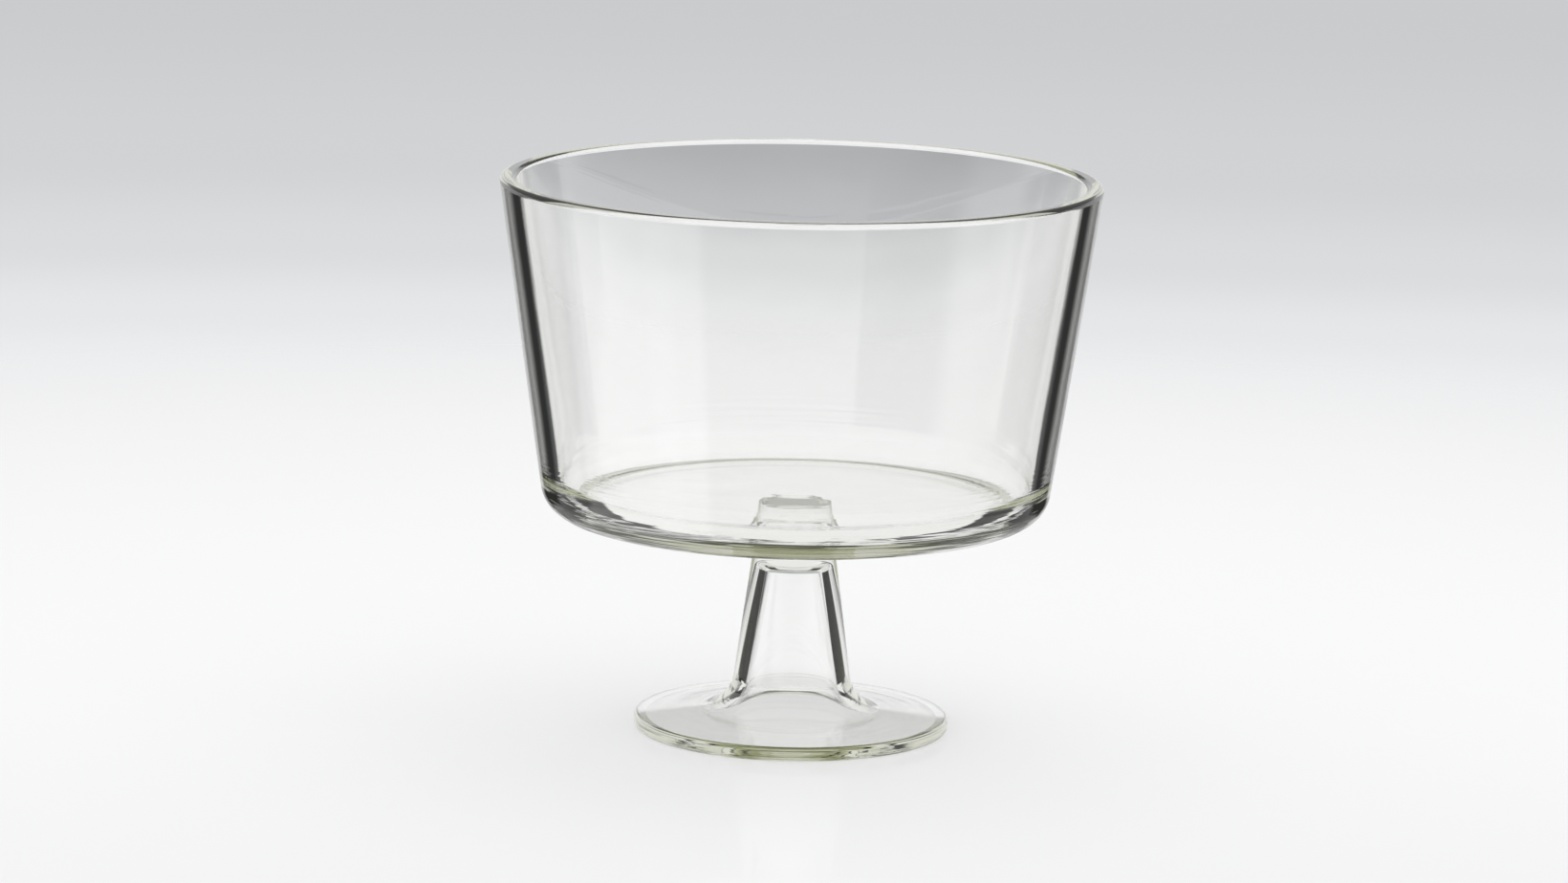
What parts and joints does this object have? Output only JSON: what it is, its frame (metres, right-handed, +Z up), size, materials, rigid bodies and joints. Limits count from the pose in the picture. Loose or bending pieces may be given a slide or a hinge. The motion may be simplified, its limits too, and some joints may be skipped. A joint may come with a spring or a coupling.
{
  "type": "trifle bowl",
  "caption": "Footed trifle bowl: a deep round clear glass bowl with a straight flaring wall on a hollow tapered stem and a round foot, for layered desserts or fruit.",
  "frame": {"origin": "centre of the foot's resting ring, on the surface that the bowl stands on", "axes": "+Z up, along the axis that bowl, stem and foot are turned round; X and Y are any two level directions"},
  "size_m": [0.225, 0.225, 0.209],
  "materials": {
    "bowl_glass": "clear pressed soda-lime glass, fire polished, faintly green where it is thick",
    "pedestal_glass": "clear pressed soda-lime glass, fire polished, faintly green at the foot's edge"
  },
  "bodies": {
    "root": {"bowl": "bowl_glass", "pedestal": "pedestal_glass"}
  },
  "joints": []
}
